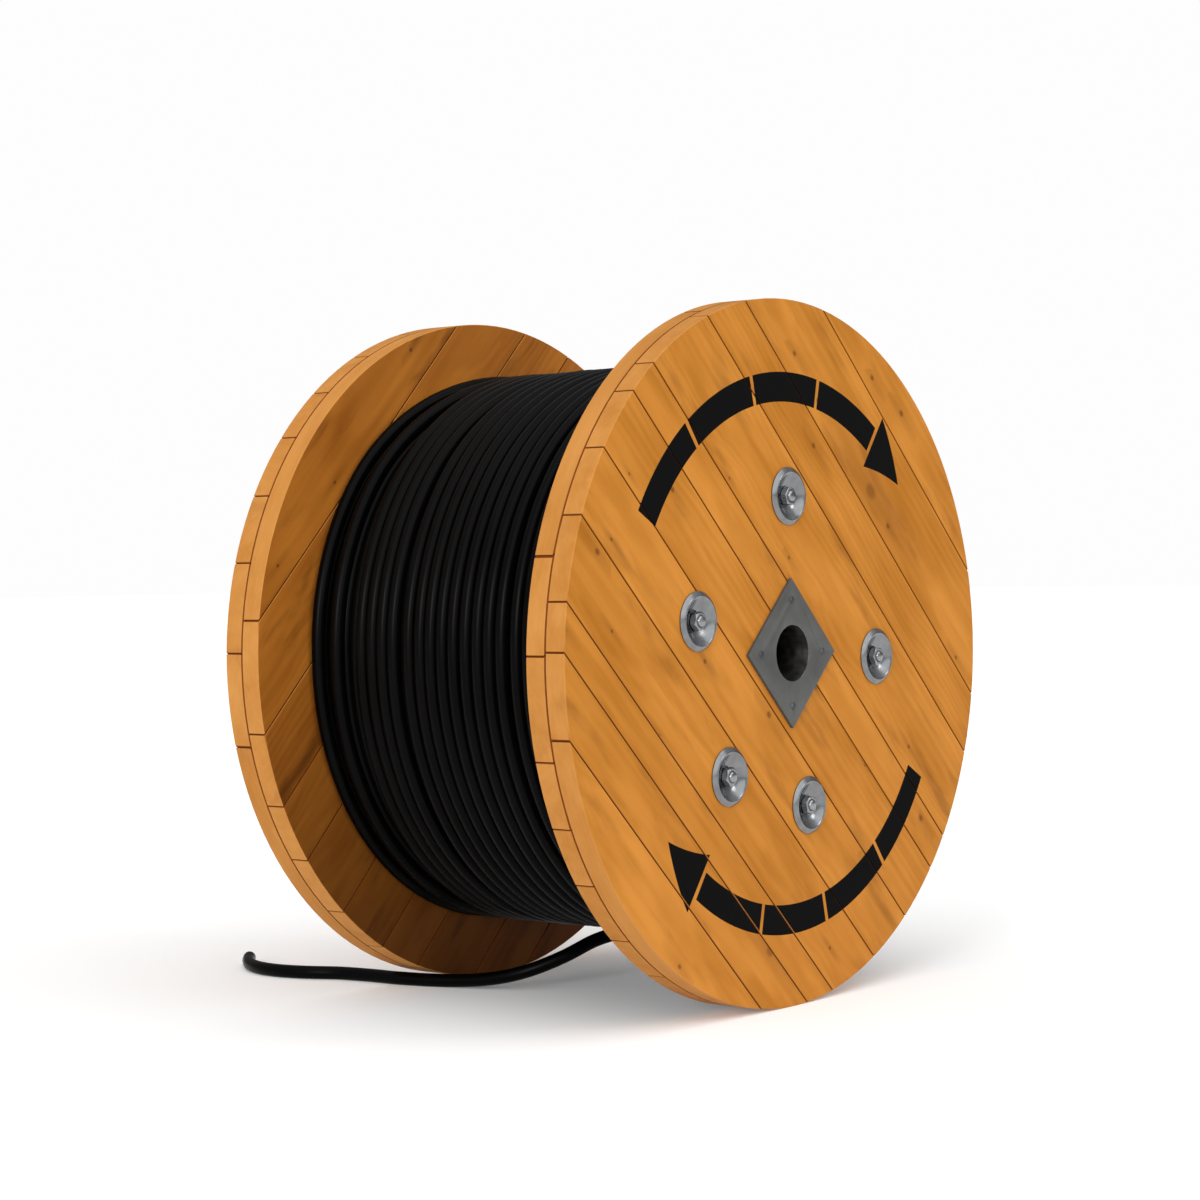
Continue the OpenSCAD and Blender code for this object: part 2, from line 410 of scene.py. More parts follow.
# sides of a board: its flat, the rim, the seam between plies, its cut edges, holes, eased edges
EASED_EDGE = 0.9 * MM
SEAM_EDGE = 1.5 * MM
PLY_T = (DRUM_HALF_W - INNER_HALF_W) / 2
FLAT, RIM, SEAM, CUT, HOLE, EASED = range(6)


def islands(shape):
    """The separate boards of a ply, as lists of vertices."""
    seen = set()
    for first in shape.verts:
        if first in seen:
            continue
        group, waiting = [], [first]
        seen.add(first)
        while waiting:
            vertex = waiting.pop()
            group.append(vertex)
            for edge in vertex.link_edges:
                other = edge.other_vert(vertex)
                if other not in seen:
                    seen.add(other)
                    waiting.append(other)
        yield group


def near(value, target):
    """Whether two lengths agree within a fifth of a millimetre."""
    return abs(value - target) < 0.2 * MM


def rim_reach(face):
    """How far a face's middle is from the drum's axis."""
    middle = face.calc_center_median()
    return math.hypot(middle.y, middle.z - AXIS_Z)


def kind_of(face):
    """Which of a board's sides a face is."""
    if abs(face.normal.x) > 0.9:
        back = near(abs(face.calc_center_median().x), DRUM_HALF_W - PLY_T)
        return SEAM if back else FLAT
    if abs(face.normal.x) > 0.1:
        return EASED
    if rim_reach(face) > FLANGE_R - 1.6 * MM:
        return RIM
    return CUT if face.calc_area() > 300 * MM * MM else HOLE


def ease(shape, edges, width):
    """One chamfer along some edges, its faces marked as eased."""
    bmesh.ops.bevel(shape, geom=edges, offset=width, offset_type="OFFSET", segments=1,
                    profile=0.5, affect="EDGES", clamp_overlap=False, material=EASED)


def make_boards(node, name, slope, skin, rim, seed):
    """A ply's boards: edges eased, and each board with its own tone and its own run of grain."""
    chance = random.Random(seed)
    shape = bmesh.new()
    shape.from_mesh(nodes[node].data)
    bmesh.ops.remove_doubles(shape, verts=shape.verts, dist=0.01 * MM)
    bmesh.ops.dissolve_limit(shape, angle_limit=math.radians(0.3), verts=shape.verts,
                             edges=shape.edges)
    for face in shape.faces:
        face.material_index = kind_of(face)
    ease(shape, [e for e in shape.edges
                 if {f.material_index for f in e.link_faces} == {RIM, SEAM}], SEAM_EDGE)
    ease(shape, [e for e in shape.edges if e.is_manifold
                 and e.calc_face_angle(0) > math.radians(60)
                 and HOLE not in {f.material_index for f in e.link_faces}], EASED_EDGE)
    grain = shape.verts.layers.float_vector.new("grain")
    tone = shape.verts.layers.float.new("board_tone")
    joint = shape.loops.layers.float.new("joint")
    middle_x = sum(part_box(node)[i].x for i in (0, 1)) / 2
    for board in islands(shape):
        centre_across = sum(-v.co.y * math.sin(slope) + (v.co.z - AXIS_Z) * math.cos(slope)
                            for v in board) / len(board)
        shift = chance.uniform(0, 40)
        pith_across = centre_across + chance.uniform(-50, 50) * MM
        pith_depth = middle_x + chance.choice([-1, 1]) * chance.uniform(45, 130) * MM
        board_tone = chance.random()
        for vertex in board:
            y, z = vertex.co.y, vertex.co.z - AXIS_Z
            along = y * math.cos(slope) + z * math.sin(slope)
            across = -y * math.sin(slope) + z * math.cos(slope)
            vertex[grain] = (along + shift, across - pith_across, vertex.co.x - pith_depth)
            vertex[tone] = board_tone
    dirty = {v for f in shape.faces if f.material_index in (SEAM, CUT) for v in f.verts}
    in_seam = {v for f in shape.faces if f.material_index == SEAM for v in f.verts}
    on_rim = {v for f in shape.faces if f.material_index == RIM for v in f.verts}
    for face in shape.faces:
        kind = face.material_index
        beside_seam = kind == EASED and any(v in in_seam for v in face.verts)
        for corner in face.loops:
            corner[joint] = float(kind in (SEAM, CUT) or beside_seam
                                  or (kind == EASED and corner.vert in dirty))
        face.smooth = kind == RIM
        face.material_index = int(kind == RIM
                                  or (kind == EASED and any(v in on_rim for v in face.verts)))
    for edge in shape.edges:
        edge.smooth = edge.is_manifold and edge.calc_face_angle(0) < math.radians(20)
    mesh = bpy.data.meshes.new(name)
    shape.to_mesh(mesh)
    shape.free()
    show(new_object(name, mesh, skin, rim), node)


JOINT_DIRT = "#6E340E"
JOINT_DIRT_SHARE = 0.93
# height above the ground where painted shade on a face begins
LOW_SHADE_TOP = 0.6
RING_SPACING = 9 * MM
STENCIL_BLACK = "#040404"
STENCIL_ROUGHNESS = 0.85


def knot_shades(tree, place, cell, share, small, large):
    """Knots through the board in some of the cells: how much of the run of grain beside them
    and of the knot itself there is at a place."""
    cells = add(tree, "ShaderNodeTexVoronoi", {"Vector": place, "Scale": 1 / cell},
                voronoi_dimensions="2D")
    pick = add(tree, "ShaderNodeSeparateColor", {"Color": cells.outputs["Color"]})
    chosen = add(tree, "ShaderNodeMath", {0: pick.outputs["Red"], 1: share},
                 operation="LESS_THAN")
    size = add(tree, "ShaderNodeMapRange", {
        "Value": pick.outputs["Green"], "To Min": small, "To Max": large})
    # the cell's own point has no depth, so the squeeze drops the depth of the place too
    from_knot = add(tree, "ShaderNodeVectorMath", {0: place, 1: cells.outputs["Position"]},
                    operation="SUBTRACT")
    shades = []
    for stretch, outside, inside in (((0.16, 1.0, 0.0), 3.2, 0.3), ((0.75, 1.0, 0.0), 1.3, 0.4)):
        squeezed = add(tree, "ShaderNodeVectorMath", {
            0: from_knot.outputs["Vector"], 1: stretch}, operation="MULTIPLY")
        away = add(tree, "ShaderNodeVectorMath", {0: squeezed.outputs["Vector"]},
                   operation="LENGTH")
        parts = add(tree, "ShaderNodeMath", {
            0: away.outputs["Value"], 1: size.outputs["Result"]}, operation="DIVIDE")
        shade = add(tree, "ShaderNodeMapRange", {
            "Value": parts.outputs["Value"], "From Min": outside, "From Max": inside},
            interpolation_type="SMOOTHSTEP")
        shades.append(add(tree, "ShaderNodeMath", {
            0: shade.outputs["Result"], 1: chosen.outputs["Value"]},
            operation="MULTIPLY").outputs["Value"])
    return shades


def softwood(name, early, late, dark, rings=0.1, stain=0.34, knots=0.3, large_knots=0.3,
             low_shade=0.0, roughness=0.5, marks=None):
    """Planed and oiled pine: soft lengthwise streaks over cloudy patches, brown stains, small
    knots with a darker run of grain each side, and brown dirt in the joints; where asked, painted
    shade that deepens towards the ground.
    Growth rings are drawn 9 mm apart, wider than the real 3 mm, so that they show."""
    made, tree = material(name)
    place = add(tree, "ShaderNodeAttribute", attribute_name="grain").outputs["Vector"]
    tone = add(tree, "ShaderNodeAttribute", attribute_name="board_tone")
    joint = add(tree, "ShaderNodeAttribute", attribute_name="joint")

    # patches 70 mm across, streaks 16 mm, fibres 1.2 mm, stains 40 mm, drawn out along the grain
    layers = []
    for scale, detail in (((5, 14, 14), 2.0), ((3.4, 62, 62), 3.0), ((12, 800, 800), 2.0),
                          ((6, 26, 26), 4.0)):
        drawn = add(tree, "ShaderNodeMapping", {"Vector": place, "Scale": scale})
        layers.append(add(tree, "ShaderNodeTexNoise", {
            "Vector": drawn.outputs["Vector"], "Scale": 1.0, "Detail": detail}).outputs["Fac"])
    patches, streaks, fibres, blots = layers
    drift = add(tree, "ShaderNodeVectorMath", {0: patches, 1: (0.0, 0.05, 0.03)},
                operation="MULTIPLY")
    wandered = add(tree, "ShaderNodeVectorMath", {0: place, 1: drift.outputs["Vector"]},
                   operation="ADD")
    wave = add(tree, "ShaderNodeTexWave", {
        "Vector": wandered.outputs["Vector"], "Scale": 2 * math.pi / (20 * RING_SPACING),
        "Distortion": 1.0, "Detail": 2.0, "Detail Scale": 0.6},
        wave_type="RINGS", rings_direction="X", wave_profile="SIN")
    total = add(tree, "ShaderNodeMath", {0: wave.outputs["Fac"], 1: rings},
                operation="MULTIPLY")
    weights = (0.95, 0.5, 0.2, 0.16)
    for part, weight in zip((patches, streaks, fibres, tone.outputs["Fac"]), weights):
        total = add(tree, "ShaderNodeMath", {0: part, 1: weight, 2: total.outputs["Value"]},
                    operation="MULTIPLY_ADD")
    middle = (rings + sum(weights)) / 2
    depth = add(tree, "ShaderNodeMapRange", {
        "Value": total.outputs["Value"], "From Min": middle - 0.3, "From Max": middle + 0.3})
    wood = add(tree, "ShaderNodeMix", {
        "Factor": depth.outputs["Result"], 6: linear(early), 7: linear(late)},
        data_type="RGBA")

    small_run, small_knot = knot_shades(tree, place, 0.085, knots, 2 * MM, 5 * MM)
    large_run, large_knot = knot_shades(tree, place, 0.26, large_knots, 7 * MM, 12 * MM)
    blotted = add(tree, "ShaderNodeMapRange", {
        "Value": blots, "From Min": 0.55, "From Max": 0.76}, interpolation_type="SMOOTHSTEP")
    colour = wood.outputs[2]
    layers = [(blotted.outputs["Result"], stain, dark), (small_run, 0.2, dark),
              (large_run, 0.24, dark), (small_knot, 0.6, dark), (large_knot, 0.4, dark)]
    if low_shade:
        # painted shade that deepens from the set height down to the ground
        height = add(tree, "ShaderNodeSeparateXYZ", {
            "Vector": add(tree, "ShaderNodeTexCoord").outputs["Object"]})
        shade_below = add(tree, "ShaderNodeMapRange", {
            "Value": height.outputs["Z"], "From Min": LOW_SHADE_TOP, "From Max": 0.0},
            interpolation_type="SMOOTHSTEP")
        layers.append((shade_below.outputs["Result"], low_shade, dark))
    layers.append((joint.outputs["Fac"], JOINT_DIRT_SHARE, JOINT_DIRT))
    for part, strength, under in layers:
        share = add(tree, "ShaderNodeMath", {0: part, 1: strength}, operation="MULTIPLY")
        darker = add(tree, "ShaderNodeMix", {
            "Factor": share.outputs["Value"], 6: colour, 7: linear(under)}, data_type="RGBA")
        colour = darker.outputs[2]
    if marks:
        painted = marks(tree)
        covered = add(tree, "ShaderNodeMix", {
            "Factor": painted, 6: colour, 7: linear(STENCIL_BLACK)}, data_type="RGBA")
        colour = covered.outputs[2]
        roughness = add(tree, "ShaderNodeMapRange", {
            "Value": painted, "To Min": roughness, "To Max": STENCIL_ROUGHNESS}).outputs["Result"]

    relief = add(tree, "ShaderNodeMath", {0: wave.outputs["Fac"], 1: 0.3, 2: fibres},
                 operation="MULTIPLY_ADD")
    bump = add(tree, "ShaderNodeBump", {
        "Height": relief.outputs["Value"], "Distance": 0.1 * MM, "Strength": 0.4})
    finish_material(tree, {
        "Base Color": colour, "Roughness": roughness, "Specular IOR Level": 0.08,
        "Normal": bump.outputs["Normal"]})
    return made


# a stencilled roll arrow above the bore and its twin below, clockwise: a band of paint broken by
# the stencil's bridges, from its start to the tip of its head, in degrees
ARROW_R = 376 * MM
ARROW_HALF = 21 * MM
ARROW_HEAD_HALF = 45 * MM
ARROW_START = 150
ARROW_TIP = 40
ARROW_HEAD = 14
BRIDGE = 1.0
BRIDGE_EVERY = 24
# how far the paint runs into a joint
PAINT_DEPTH = 1.6 * MM


def stencil_marks(tree):
    """Where the black stencil paint is."""
    place = add(tree, "ShaderNodeTexCoord")
    split = add(tree, "ShaderNodeSeparateXYZ", {"Vector": place.outputs["Object"]})
    high = add(tree, "ShaderNodeMath", {0: split.outputs["Z"], 1: AXIS_Z}, operation="SUBTRACT")
    flat = add(tree, "ShaderNodeCombineXYZ", {"X": split.outputs["Y"], "Y": high.outputs[0]})
    reach = add(tree, "ShaderNodeVectorMath", {0: flat.outputs["Vector"]}, operation="LENGTH")
    off = add(tree, "ShaderNodeMath", {0: reach.outputs["Value"], 1: ARROW_R},
              operation="SUBTRACT")
    off_line = add(tree, "ShaderNodeMath", {0: off.outputs[0]}, operation="ABSOLUTE")
    turned = add(tree, "ShaderNodeMath", {0: high.outputs[0], 1: split.outputs["Y"]},
                 operation="ARCTAN2")
    degrees = add(tree, "ShaderNodeMath", {0: turned.outputs[0]}, operation="DEGREES")
    half_turn = add(tree, "ShaderNodeMath", {0: degrees.outputs[0], 1: 180.0},
                    operation="FLOORED_MODULO")
    angle = half_turn.outputs[0]
    from_start = add(tree, "ShaderNodeMath", {0: float(ARROW_START), 1: angle},
                     operation="SUBTRACT")
    in_step = add(tree, "ShaderNodeMath", {0: from_start.outputs[0], 1: float(BRIDGE_EVERY)},
                  operation="FLOORED_MODULO")
    neck = ARROW_TIP + ARROW_HEAD
    narrowing = add(tree, "ShaderNodeMapRange", {
        "Value": angle, "From Min": float(ARROW_TIP), "From Max": float(neck),
        "To Min": 0.0, "To Max": ARROW_HEAD_HALF})
    parts = []
    for tests in (
        ((from_start.outputs[0], "GREATER_THAN", 0.0), (angle, "GREATER_THAN", neck + BRIDGE),
         (in_step.outputs[0], "LESS_THAN", BRIDGE_EVERY - BRIDGE),
         (off_line.outputs[0], "LESS_THAN", ARROW_HALF)),
        ((angle, "GREATER_THAN", float(ARROW_TIP)), (angle, "LESS_THAN", float(neck)),
         (off_line.outputs[0], "LESS_THAN", narrowing.outputs["Result"])),
    ):
        inside = None
        for value, relation, limit in tests:
            test = add(tree, "ShaderNodeMath", {0: value, 1: limit}, operation=relation)
            inside = test if inside is None else add(
                tree, "ShaderNodeMath", {0: inside.outputs[0], 1: test.outputs[0]},
                operation="MULTIPLY")
        parts.append(inside.outputs[0])
    either = add(tree, "ShaderNodeMath", {0: parts[0], 1: parts[1]}, operation="MAXIMUM")
    outer_face = add(tree, "ShaderNodeMath", {
        0: split.outputs["X"], 1: DRUM_HALF_W - PAINT_DEPTH}, operation="GREATER_THAN")
    on_face = add(tree, "ShaderNodeMath", {0: either.outputs[0], 1: outer_face.outputs[0]},
                  operation="MULTIPLY")
    return on_face.outputs[0]


# ---------- cable and steel finishes ----------

def cable_jacket():
    """Extruded black PVC: smooth with a soft shine, faintly dusty where it has been handled."""
    made, tree = material("extruded black PVC jacket")
    place = add(tree, "ShaderNodeTexCoord")
    dust = add(tree, "ShaderNodeTexNoise", {
        "Vector": place.outputs["Object"], "Scale": 9.0, "Detail": 5.0, "Roughness": 0.6})
    colour = add(tree, "ShaderNodeValToRGB", {"Fac": dust.outputs["Fac"]}, stops=[
        (0.35, linear("#020202")), (0.75, linear("#060606"))])
    sheen = add(tree, "ShaderNodeMapRange", {
        "Value": dust.outputs["Fac"], "From Min": 0.3, "From Max": 0.7,
        "To Min": 0.27, "To Max": 0.36})
    # die marks and handling, about 3 mm apart
    skin = add(tree, "ShaderNodeTexNoise", {
        "Vector": place.outputs["Object"], "Scale": 330.0, "Detail": 2.0})
    bump = add(tree, "ShaderNodeBump", {
        "Height": skin.outputs["Fac"], "Distance": 0.05 * MM, "Strength": 0.35})
    finish_material(tree, {
        "Base Color": colour.outputs["Color"], "Roughness": sheen.outputs["Result"],
        "Normal": bump.outputs["Normal"], "Specular IOR Level": 0.05})
    return made


def zinc_plated(name, light, dark, roughness):
    """Pressed steel with bright zinc plating: grey, softly mottled, with sharp glints."""
    made, tree = material(name)
    place = add(tree, "ShaderNodeTexCoord")
    mottle = add(tree, "ShaderNodeTexNoise", {
        "Vector": place.outputs["Object"], "Scale": 70.0, "Detail": 4.0})
    colour = add(tree, "ShaderNodeValToRGB", {"Fac": mottle.outputs["Fac"]}, stops=[
        (0.35, linear(dark)), (0.68, linear(light))])
    worn = add(tree, "ShaderNodeMapRange", {
        "Value": mottle.outputs["Fac"], "From Min": 0.3, "From Max": 0.7,
        "To Min": roughness - 0.06, "To Max": roughness + 0.08})
    grit = add(tree, "ShaderNodeTexNoise", {
        "Vector": place.outputs["Object"], "Scale": 600.0, "Detail": 1.0})
    bump = add(tree, "ShaderNodeBump", {
        "Height": grit.outputs["Fac"], "Distance": 0.004 * MM, "Strength": 0.3})
    finish_material(tree, {
        "Base Color": colour.outputs["Color"], "Metallic": 1.0,
        "Roughness": worn.outputs["Result"], "Normal": bump.outputs["Normal"]})
    return made


def plate_paint():
    """Hot-rolled plate in dark grey primer: flat and even, with a faint cloudiness."""
    made, tree = material("dark grey primed steel plate")
    place = add(tree, "ShaderNodeTexCoord")
    cloud = add(tree, "ShaderNodeTexNoise", {
        "Vector": place.outputs["Object"], "Scale": 24.0, "Detail": 5.0, "Roughness": 0.6})
    colour = add(tree, "ShaderNodeValToRGB", {"Fac": cloud.outputs["Fac"]}, stops=[
        (0.3, linear("#494A48")), (0.7, linear("#565755"))])
    scale_marks = add(tree, "ShaderNodeTexNoise", {
        "Vector": place.outputs["Object"], "Scale": 260.0, "Detail": 3.0})
    bump = add(tree, "ShaderNodeBump", {
        "Height": scale_marks.outputs["Fac"], "Distance": 0.08 * MM, "Strength": 0.35})
    finish_material(tree, {
        "Base Color": colour.outputs["Color"], "Metallic": 0.35, "Roughness": 0.46,
        "Normal": bump.outputs["Normal"]})
    return made


# ---------- steel pieces ----------

ROD_PLACES = [90, 167, 228, 281, 357]
ROD_R = 8 * MM
STAVE_T = 22 * MM
ROD_CIRCLE_R = BARREL_R - STAVE_T - 2 * ROD_R
WASHER_R = 41 * MM
WASHER_T = 3 * MM
RIDGE_H = 6.5 * MM
RIDGE_SHARE = 0.84
DISH_DEPTH = 4 * MM
SEAT_DEPTH = DISH_DEPTH + WASHER_T
RIDGE_ROUND = 3.2 * MM
NUT_CORNERS_R = 27.68 / 2 * MM
NUT_H = 10 * MM


def revolve(profile, count):
    """A closed turned shape about local Z from its (radius, height) outline."""
    shape = bmesh.new()
    rings = [[shape.verts.new((r * math.cos(a), r * math.sin(a), h)) for r, h in profile]
             for a in (2 * math.pi * i / count for i in range(count))]
    size = len(profile)
    for i in range(count):
        one, two = rings[i], rings[(i + 1) % count]
        for k in range(size):
            n = (k + 1) % size
            shape.faces.new((one[k], one[n], two[n], two[k]))
    bmesh.ops.remove_doubles(shape, verts=shape.verts, dist=0.001 * MM)
    bmesh.ops.recalc_face_normals(shape, faces=shape.faces)
    return shape


def washer_profile():
    """Rim on the wood, a rolled ridge, then a dish down to the flat that the nut pulls on."""
    outer = [(WASHER_R - 0.6 * MM, 0.0), (WASHER_R, 0.7 * MM), (WASHER_R, 1.9 * MM),
             (WASHER_R - 0.7 * MM, 2.6 * MM)]
    ridge_r = WASHER_R * RIDGE_SHARE
    for a in (60, 78, 96, 114):
        t = math.radians(a)
        outer.append((ridge_r + RIDGE_ROUND * math.cos(t),
                      RIDGE_H - RIDGE_ROUND * (1 - math.sin(t))))
    top_r, top_h = outer[-1]
    low_r, low_h = 14.6 * MM, -DISH_DEPTH + 0.8 * MM
    for t in (0.86, 0.72, 0.58, 0.44, 0.3, 0.15, 0.0):
        outer.append((low_r + (top_r - low_r) * t, low_h + (top_h - low_h) * t ** 1.5))
    inner = [(13.2 * MM, -DISH_DEPTH),
             (ROD_R + 1 * MM, -DISH_DEPTH), (ROD_R + 1 * MM, -SEAT_DEPTH),
             (12.6 * MM, -SEAT_DEPTH), (WASHER_R * 0.8, RIDGE_H - WASHER_T - 0.4 * MM),
             (WASHER_R * 0.87, RIDGE_H - WASHER_T - 0.4 * MM), (WASHER_R - 3 * MM, 0.0)]
    return outer + inner


def washer_mesh():
    """One dished washer about local Z."""
    shape = revolve(washer_profile(), 64)
    for face in shape.faces:
        face.smooth = True
    for edge in shape.edges:
        edge.smooth = edge.is_manifold and edge.calc_face_angle(0) < math.radians(42)
    mesh = bpy.data.meshes.new("washer")
    shape.to_mesh(mesh)
    shape.free()
    return mesh


def nut_mesh():
    """A hexagon nut with its corners turned off at both faces."""
    count = 72
    shape = bmesh.new()
    flat_r = NUT_CORNERS_R * math.cos(math.pi / 6)
    bore = ROD_R + 0.1 * MM
    rows = []
    for i in range(count):
        a = 2 * math.pi * i / count
        within = (a % (math.pi / 3)) - math.pi / 6
        hexagon = flat_r / math.cos(within)
        chamfer = (hexagon - flat_r) * 0.6 + 0.5 * MM
        rows.append([shape.verts.new((r * math.cos(a), r * math.sin(a), h)) for r, h in (
            (bore, 0.0), (flat_r - 1 * MM, 0.0), (hexagon, chamfer),
            (hexagon, NUT_H - chamfer), (flat_r - 1 * MM, NUT_H),
            (bore + 0.8 * MM, NUT_H), (bore, NUT_H - 0.8 * MM))])
    for i in range(count):
        one, two = rows[i], rows[(i + 1) % count]
        for k in range(len(one)):
            n = (k + 1) % len(one)
            shape.faces.new((one[k], one[n], two[n], two[k]))
    bmesh.ops.remove_doubles(shape, verts=shape.verts, dist=0.001 * MM)
    bmesh.ops.recalc_face_normals(shape, faces=shape.faces)
    mesh = bpy.data.meshes.new("nut")
    shape.to_mesh(mesh)
    shape.free()
    return mesh


def placing_tree():
    """Puts one piece at every point, turned as the point's own angle says."""
    tree = bpy.data.node_groups.new("piece at every place", "GeometryNodeTree")
    face = tree.interface
    face.new_socket("Places", in_out="INPUT", socket_type="NodeSocketGeometry")
    face.new_socket("Piece", in_out="INPUT", socket_type="NodeSocketObject")
    face.new_socket("Finish", in_out="INPUT", socket_type="NodeSocketMaterial")
    face.new_socket("Pieces", in_out="OUTPUT", socket_type="NodeSocketGeometry")
    given = add(tree, "NodeGroupInput")
    piece = add(tree, "GeometryNodeObjectInfo", {"Object": given.outputs["Piece"]})
    turn = add(tree, "GeometryNodeInputNamedAttribute", {"Name": "turn"},
               data_type="FLOAT_VECTOR")
    placed = add(tree, "GeometryNodeInstanceOnPoints", {
        "Points": given.outputs["Places"], "Instance": piece.outputs["Geometry"],
        "Rotation": turn.outputs["Attribute"]})
    real = add(tree, "GeometryNodeRealizeInstances",
               {"Geometry": placed.outputs["Instances"]})
    painted = add(tree, "GeometryNodeSetMaterial", {
        "Geometry": real.outputs["Geometry"], "Material": given.outputs["Finish"]})
    add(tree, "NodeGroupOutput", {"Pieces": painted.outputs["Geometry"]})
    return tree


def place_pieces(tree, name, mesh, places, finish, node):
    """One mesh at every (point, side, turn about the axis); side is +1 near and -1 far."""
    data = bpy.data.meshes.new(name)
    data.from_pydata([p for p, _, _ in places], [], [])
    turns = data.attributes.new("turn", "FLOAT_VECTOR", "POINT")
    for i, (_, side, about) in enumerate(places):
        turn = Matrix.Rotation(side * math.pi / 2, 3, "Y") @ Matrix.Rotation(about, 3, "Z")
        turns.data[i].vector = turn.to_euler()
    one = bpy.data.objects.new(name + "_one", mesh)
    bpy.context.scene.collection.objects.link(one)
    maker = bpy.data.objects.new(name + "_maker", data)
    bpy.context.scene.collection.objects.link(maker)
    modifier = maker.modifiers.new("places", "NODES")
    modifier.node_group = tree
    set_inputs(modifier, {"Piece": one, "Finish": finish})
    made = plain_mesh(maker, name)
    bpy.data.objects.remove(one)
    show(new_object(name, made), node)


def rod_places(side, height, spin):
    """The five rods' places on one flange; a nut stops at any turn, a washer has none."""
    chance = random.Random(side + 7)
    return [
        (on_drum(side * (DRUM_HALF_W + height), ROD_CIRCLE_R, math.radians(a)), side,
         chance.uniform(0, 6.3) if spin else 0.0)
        for a in ROD_PLACES
    ]


def eased_copy(node, name, edge, finish, segments=2, bore_finishes=()):
    """A CAD piece with its edges broken; its bore and the bore's edge may have their own
    finishes."""
    shape = bmesh.new()
    shape.from_mesh(nodes[node].data)
    bmesh.ops.remove_doubles(shape, verts=shape.verts, dist=0.01 * MM)
    bmesh.ops.dissolve_limit(shape, angle_limit=math.radians(0.3), verts=shape.verts,
                             edges=shape.edges)
    sharp = [e for e in shape.edges
             if e.is_manifold and e.calc_face_angle(0) > math.radians(35)]
    bmesh.ops.bevel(shape, geom=sharp, offset=edge, offset_type="OFFSET", segments=segments,
                    profile=0.5, affect="EDGES", clamp_overlap=True)
    for face in shape.faces:
        face.smooth = True
        if bore_finishes:
            # the bore's inner wall takes the first extra finish, a darker steel as painted shade;
            # the chamfer at its edge takes the second
            middle = face.calc_center_median()
            inwards = -(middle.y * face.normal.y + (middle.z - AXIS_Z) * face.normal.z)
            share = inwards / rim_reach(face)
            face.material_index = 1 if share > 0.98 else 2 if share > 0.2 else 0
    for line in shape.edges:
        line.smooth = line.is_manifold and line.calc_face_angle(0) < math.radians(25)
    mesh = bpy.data.meshes.new(name)
    shape.to_mesh(mesh)
    shape.free()
    show(new_object(name, mesh, finish, *bore_finishes), node)


def repaint(node, finish):
    """A CAD piece keeps its shape and takes a finish."""
    nodes[node].data.materials.clear()
    nodes[node].data.materials.append(finish)


# ---------- making the drum ----------

jacket = cable_jacket()
make_tail(jacket)
make_winding(jacket)

OILED_PINE = ("#C48133", "#A26419", "#461C06")
face_wood = softwood("oiled pine, flange face", *OILED_PINE, marks=stencil_marks)
far_wood = softwood("oiled pine, far flange face", *OILED_PINE)
# the inner ply's pine is darker than the face's as painted shade between the flanges; its stains
# and knots are the wood's own, and it also takes painted shade towards the ground
inner_wood_with_painted_shade = softwood("oiled pine, inner ply, with painted shade", "#B06D25", "#864A11", "#2C0F03", stain=0.6,
                      knots=0.35, low_shade=0.75, roughness=0.6)
rim_wood = softwood("oiled pine, flange rim", "#C28745", "#AE7130", "#4A1E08", rings=0.05,
                    stain=0.15, knots=0.1, large_knots=0.0, roughness=0.6)
stave_wood = softwood("sawn pine, barrel", "#B98A50", "#8E6230", "#3F2410", roughness=0.66)
make_boards("outer_planks_near", "outer_boards_near", OUTER_SLOPE, face_wood, rim_wood,
            3)
make_boards("inner_planks_near", "inner_boards_near", INNER_SLOPE, inner_wood_with_painted_shade, rim_wood,
            5)
make_boards("inner_planks_far", "inner_boards_far", INNER_SLOPE, inner_wood_with_painted_shade, rim_wood,
            8)
make_boards("outer_planks_far", "outer_boards_far", OUTER_SLOPE, far_wood, rim_wood,
            13)
repaint("barrel_staves", stave_wood)

washer_zinc = zinc_plated("zinc-plated pressed steel", "#8B8D8F", "#7B7D7F", 0.21)
nut_zinc = zinc_plated("zinc-plated turned steel", "#9A9C9E", "#868889", 0.21)
nail_steel = zinc_plated("dull wire nail steel", "#5E6062", "#48494A", 0.45)
plate_finish = plate_paint()
# a darker steel for the bore's inner wall: painted shade inside the bore
bore_wall_painted_shade = zinc_plated("dark steel bore wall, painted shade", "#5C5B57", "#42413E", 0.5)
tree = placing_tree()
for side, word in ((1, "near"), (-1, "far")):
    place_pieces(tree, "washers_" + word, washer_mesh(), rod_places(side, 0, False),
                 washer_zinc, "dished_washers_" + word)
    place_pieces(tree, "nuts_" + word, nut_mesh(), rod_places(side, -DISH_DEPTH, True),
                 nut_zinc, "tie_rod_nuts_" + word)
    eased_copy("spindle_plate_" + word, "plate_" + word, 0.8 * MM, plate_finish,
               bore_finishes=(bore_wall_painted_shade, nut_zinc))
    eased_copy("plate_nails_" + word, "nails_" + word, 0.4 * MM, nail_steel)
eased_copy("tie_rods", "rods", 0.5 * MM, nut_zinc, segments=1)


# ---------- floor and light ----------

FLOOR_HALF = 60
BACKDROP = 0.985
# brightest towards the upper front, where the softboxes are
SOFTBOX_SIDE = (0.35, -0.55, 0.76)


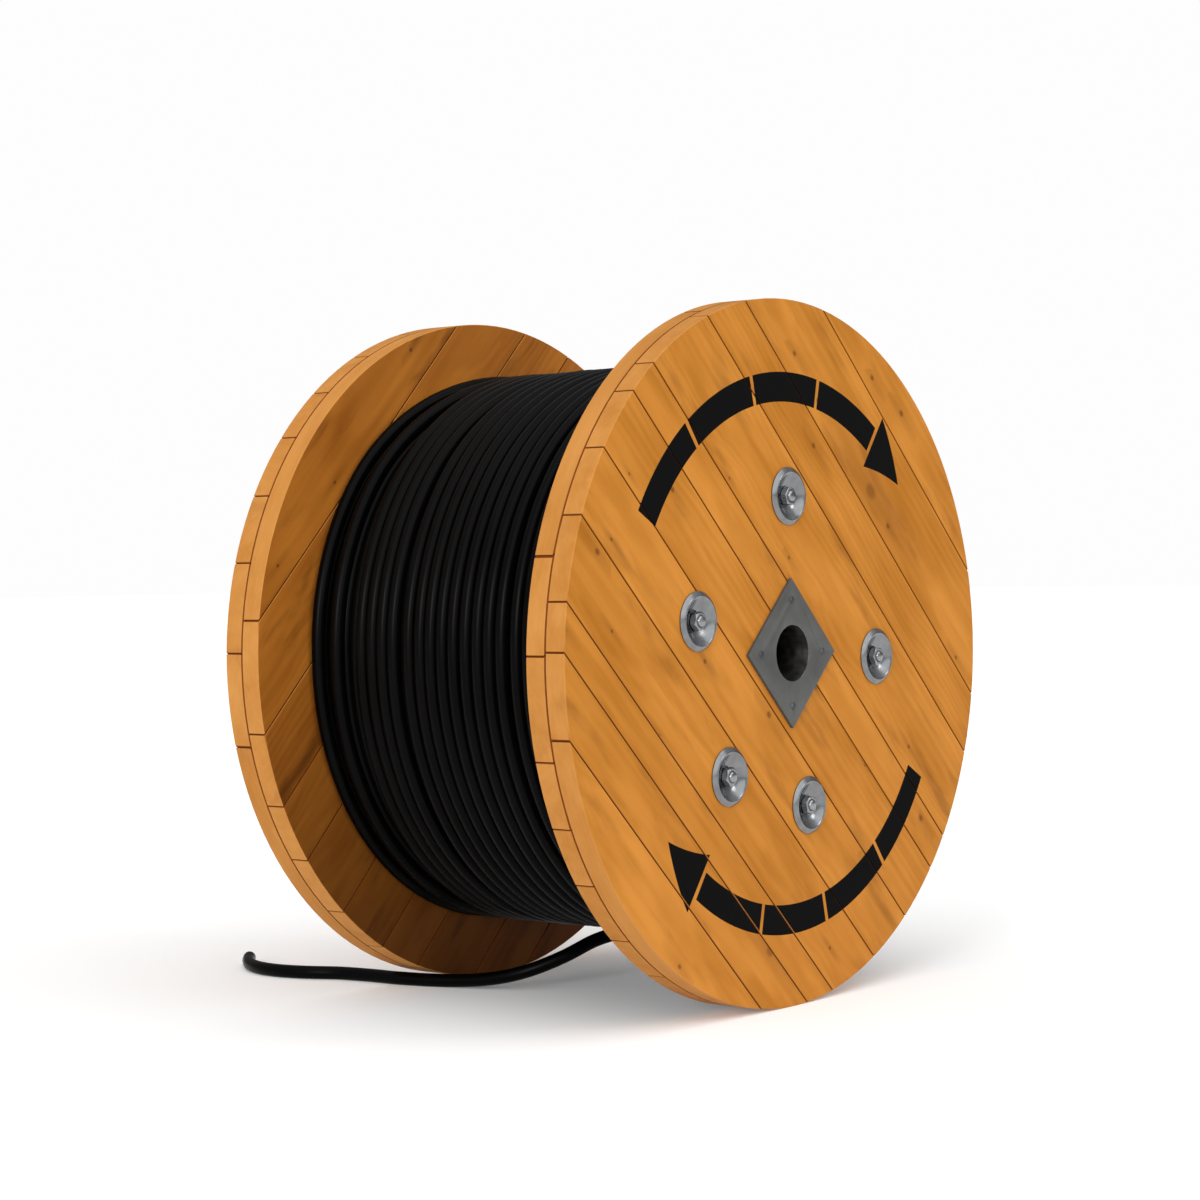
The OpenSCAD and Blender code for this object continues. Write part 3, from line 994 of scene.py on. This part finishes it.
def make_floor():
    """A wide pale matt floor with a faint glow of its own, so that it meets a white backdrop."""
    mesh = bpy.data.meshes.new("floor")
    half = FLOOR_HALF
    mesh.from_pydata([(-half, -half, 0), (half, -half, 0), (half, half, 0), (-half, half, 0)],
                     [], [(0, 1, 2, 3)])
    made, tree = material("pale studio floor")
    finish_material(tree, {
        "Base Color": linear("#F2F2F2"), "Roughness": 0.8, "Specular IOR Level": 0.0,
        "Emission Color": linear("#FFFFFF"), "Emission Strength": 0.13})
    new_object("floor", mesh, made)


def make_sun(name, towards, strength, spread):
    """A soft light from one direction: a large diffuser, far off."""
    data = bpy.data.lights.new(name, "SUN")
    data.energy = strength
    data.angle = math.radians(spread)
    lamp = bpy.data.objects.new(name, data)
    lamp.rotation_euler = Vector(towards).to_track_quat("Z", "Y").to_euler()
    bpy.context.scene.collection.objects.link(lamp)


def make_world():
    """Studio light that falls off towards the lower back; the backdrop itself is near white."""
    world = bpy.data.worlds.new("studio")
    world.use_nodes = True
    tree = world.node_tree
    tree.nodes.clear()
    towards = add(tree, "ShaderNodeTexCoord")
    facing = add(tree, "ShaderNodeVectorMath", {
        0: towards.outputs["Generated"], 1: SOFTBOX_SIDE}, operation="DOT_PRODUCT")
    glow = add(tree, "ShaderNodeMapRange", {
        "Value": facing.outputs["Value"], "From Min": -0.5, "From Max": 0.9,
        "To Min": 0.12, "To Max": 0.86})
    seen = add(tree, "ShaderNodeLightPath")
    strength = add(tree, "ShaderNodeMix", {
        "Factor": seen.outputs["Is Camera Ray"], "A": glow.outputs["Result"], "B": BACKDROP})
    sky = add(tree, "ShaderNodeBackground", {
        "Color": linear("#FFFFFF"), "Strength": strength.outputs["Result"]})
    add(tree, "ShaderNodeOutputWorld", {"Surface": sky.outputs["Background"]})
    bpy.context.scene.world = world


make_floor()
make_world()
make_sun("key", (0.56, -0.3, 0.77), 1.5, 90)
make_sun("left strip", (0.3, -0.92, 0.25), 1.0, 14)
make_sun("right strip", (0.79, 0.48, 0.39), 0.25, 14)
bpy.context.scene.view_settings.view_transform = "Standard"
